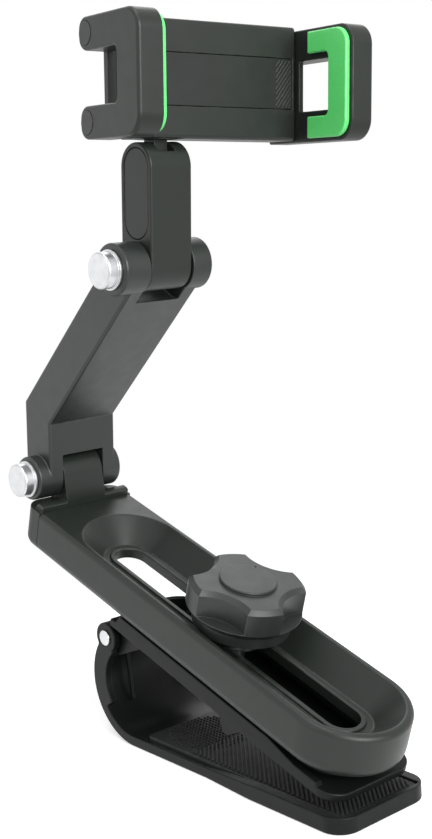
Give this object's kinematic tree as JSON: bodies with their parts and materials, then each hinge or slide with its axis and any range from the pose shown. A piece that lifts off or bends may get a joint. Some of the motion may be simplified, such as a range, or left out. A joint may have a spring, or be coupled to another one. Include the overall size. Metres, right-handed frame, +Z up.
{
  "type": "car phone holder",
  "caption": "Sun-visor phone holder: spring clip, slotted rail with a clamping knob, folding arms on pins and a sprung phone clamp with green pads.",
  "frame": {"origin": "on the flat underside of the lower jaw, in the middle of the area it stands on", "axes": "+Z up, +X along the rail towards its rounded nose, +Y along the hinge pins"},
  "size_m": [0.135, 0.0759, 0.1969],
  "materials": {
    "black_plastic": "satin moulded black plastic",
    "grip_rubber": "ribbed black rubber",
    "green_pad": "soft bright green rubber",
    "bright_steel": "bright plated steel",
    "plain_steel": "plain zinc-plated steel",
    "brass_insert": "turned brass"
  },
  "bodies": {
    "lower_jaw": {"lower_jaw": "black_plastic", "lower_jaw_pad": "grip_rubber", "clip_eyelets": "bright_steel", "clip_spring": "plain_steel"},
    "upper_jaw": {"upper_jaw": "black_plastic", "upper_jaw_pad": "grip_rubber", "clamp_bolt": "plain_steel"},
    "rail": {"rail_housing": "black_plastic", "rail_base_cover": "black_plastic", "rail_hinge_block": "black_plastic"},
    "knob": {"knob": "black_plastic", "knob_insert": "brass_insert", "knob_washer": "plain_steel"},
    "lower_arm": {"lower_arm": "black_plastic", "hinge_pins": "bright_steel", "pin_nuts": "plain_steel", "barrel_plugs": "black_plastic"},
    "upper_arm": {"upper_arm": "black_plastic", "arm_panels": "black_plastic", "tilt_pin": "plain_steel"},
    "swivel": {"swivel_base": "black_plastic", "stem_clip": "plain_steel"},
    "clamp": {"clamp_front_housing": "black_plastic", "clamp_strip": "black_plastic", "clamp_back_cover": "black_plastic", "clamp_screws": "plain_steel", "fixed_ear": "black_plastic", "left_pad": "green_pad", "ear_screw_covers": "black_plastic", "jaw_springs": "plain_steel"},
    "sliding_ear": {"sliding_ear": "black_plastic", "right_pad": "green_pad"}
  },
  "joints": [
    {"name": "clip_open", "type": "hinge", "parent": "lower_jaw", "child": "upper_jaw", "pos_m": [-0.0462, 0, 0.02955], "axis": [0, -1, 0], "range_deg": [0, 22], "stiffness_Nm_per_rad": 1, "springref_deg": -28.65, "deforming": ["clip_spring"]},
    {"name": "rail_slide", "type": "slide", "parent": "upper_jaw", "child": "rail", "axis": [0.9513, 0, -0.3082], "range_m": [-0.036, 0.04]},
    {"name": "knob_turn", "type": "hinge", "parent": "upper_jaw", "child": "knob", "pos_m": [-0.00423, 0, 0.03994], "axis": [0.3082, 0, 0.9513], "continuous": true},
    {"name": "lower_hinge", "type": "hinge", "parent": "rail", "child": "lower_arm", "pos_m": [-0.07932, 0, 0.07162], "axis": [0, 1, 0], "range_deg": [-45, 25]},
    {"name": "upper_hinge", "type": "hinge", "parent": "lower_arm", "child": "upper_arm", "pos_m": [-0.03057, 0, 0.13296], "axis": [0, 1, 0], "range_deg": [-30, 30]},
    {"name": "head_tilt", "type": "hinge", "parent": "upper_arm", "child": "swivel", "pos_m": [-0.0282, 0, 0.15895], "axis": [0, 1, 0], "range_deg": [-20, 25]},
    {"name": "head_spin", "type": "hinge", "parent": "swivel", "child": "clamp", "pos_m": [-0.0282, 0, 0.15895], "axis": [0.0401, 0.0314, 0.9987], "continuous": true},
    {"name": "jaw_slide", "type": "slide", "parent": "clamp", "child": "sliding_ear", "axis": [0.124, 0.9916, -0.0362], "range_m": [0, 0.032], "stiffness_N_per_m": 60, "springref_m": -0.03, "deforming": ["jaw_springs"]}
  ]
}
